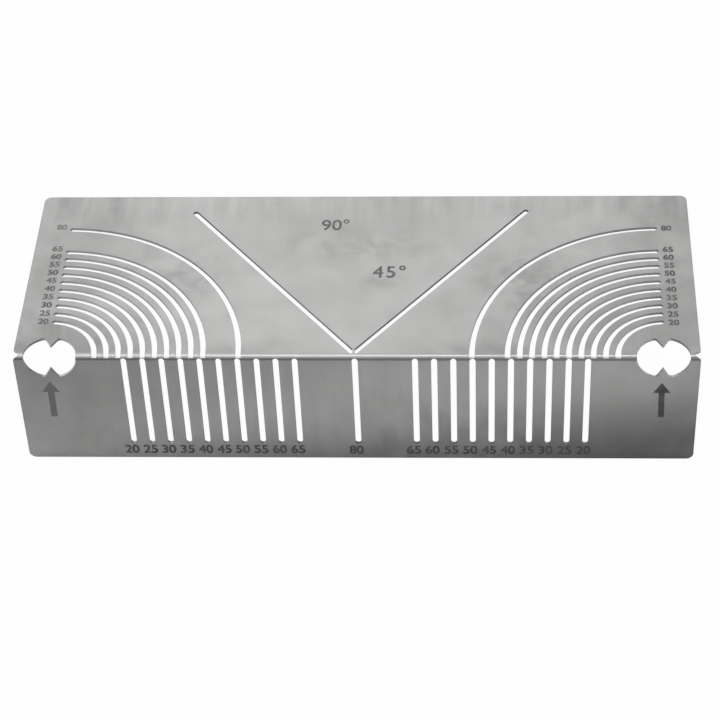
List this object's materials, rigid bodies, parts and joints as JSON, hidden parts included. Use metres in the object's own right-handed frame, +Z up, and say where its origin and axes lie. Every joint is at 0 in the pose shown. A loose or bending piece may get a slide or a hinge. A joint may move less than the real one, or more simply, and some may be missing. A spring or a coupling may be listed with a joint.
{
  "type": "arc marking tool",
  "caption": "Right-angle folded steel sheet with nested quarter-circle, straight and V-shaped slots, for marking round-cornered bends on square tube.",
  "frame": {"origin": "centre of the ground under the tool as it lies on its two free edges, with the fold upward", "axes": "+X along the fold, to the right as the numerals are read, +Y from the narrow leg towards the wide leg, +Z up"},
  "size_m": [0.282, 0.1188, 0.0508],
  "materials": {
    "plate": "brushed"
  },
  "bodies": {
    "root": {"marking_plate": "plate"}
  },
  "joints": []
}
